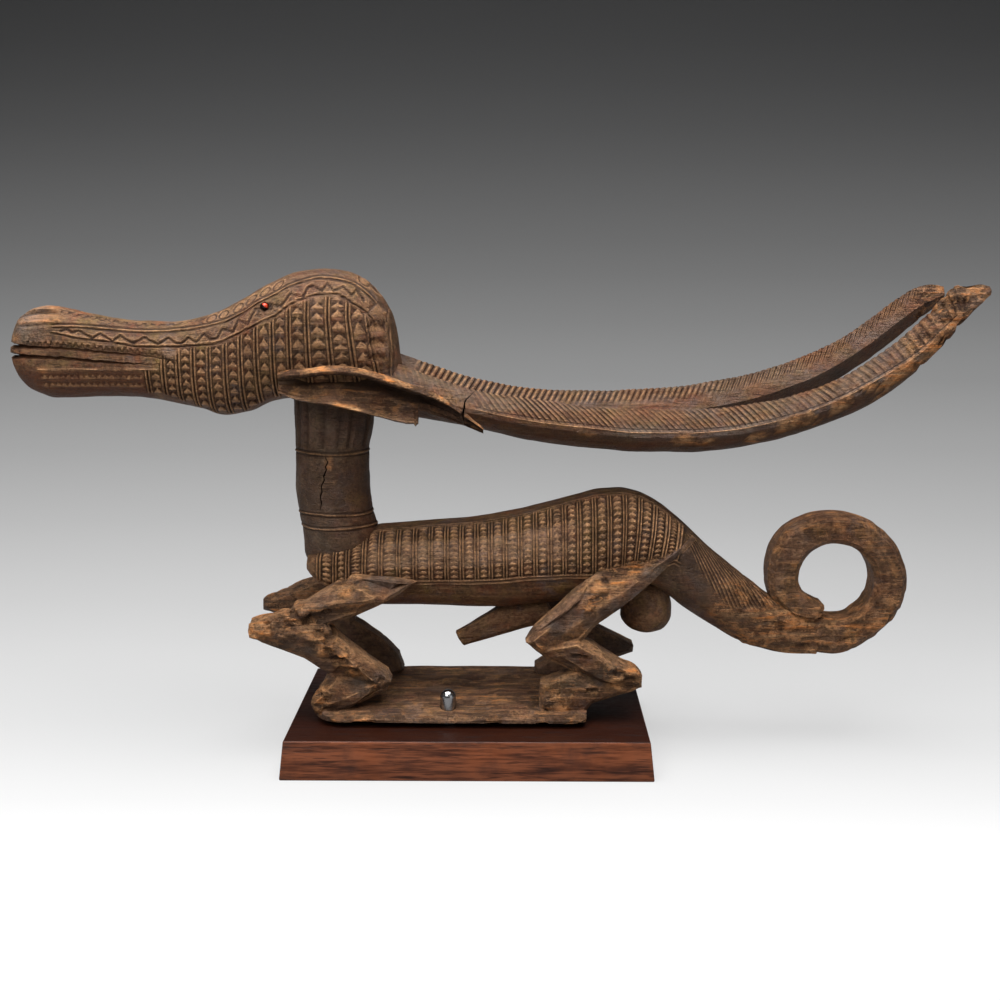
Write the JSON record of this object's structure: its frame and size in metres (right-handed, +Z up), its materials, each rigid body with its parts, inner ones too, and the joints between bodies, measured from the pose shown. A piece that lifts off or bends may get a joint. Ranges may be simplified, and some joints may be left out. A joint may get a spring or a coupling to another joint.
{
  "type": "chiwara headdress",
  "caption": "Horizontal antelope crest carved in dark wood, with long swept horns, ears, bent legs and a curled tail, held by a steel pin on a low wooden plinth.",
  "frame": {"origin": "middle of the plinth's underside, which rests on the surface", "axes": "+Z up, +X from the muzzle towards the horn tips and the tail, -Y towards the side that shows the mount pin"},
  "size_m": [0.6915, 0.181, 0.3539],
  "materials": {
    "carved_wood": "dark handled patina, worn lighter on the edges",
    "plinth_wood": "satin red-brown varnish",
    "seed": "glossy red and black seed",
    "steel": "polished steel"
  },
  "bodies": {
    "root": {"headdress": "carved_wood", "eye_near": "seed", "eye_far": "seed", "plinth": "plinth_wood", "mount_pin": "steel"}
  },
  "joints": []
}
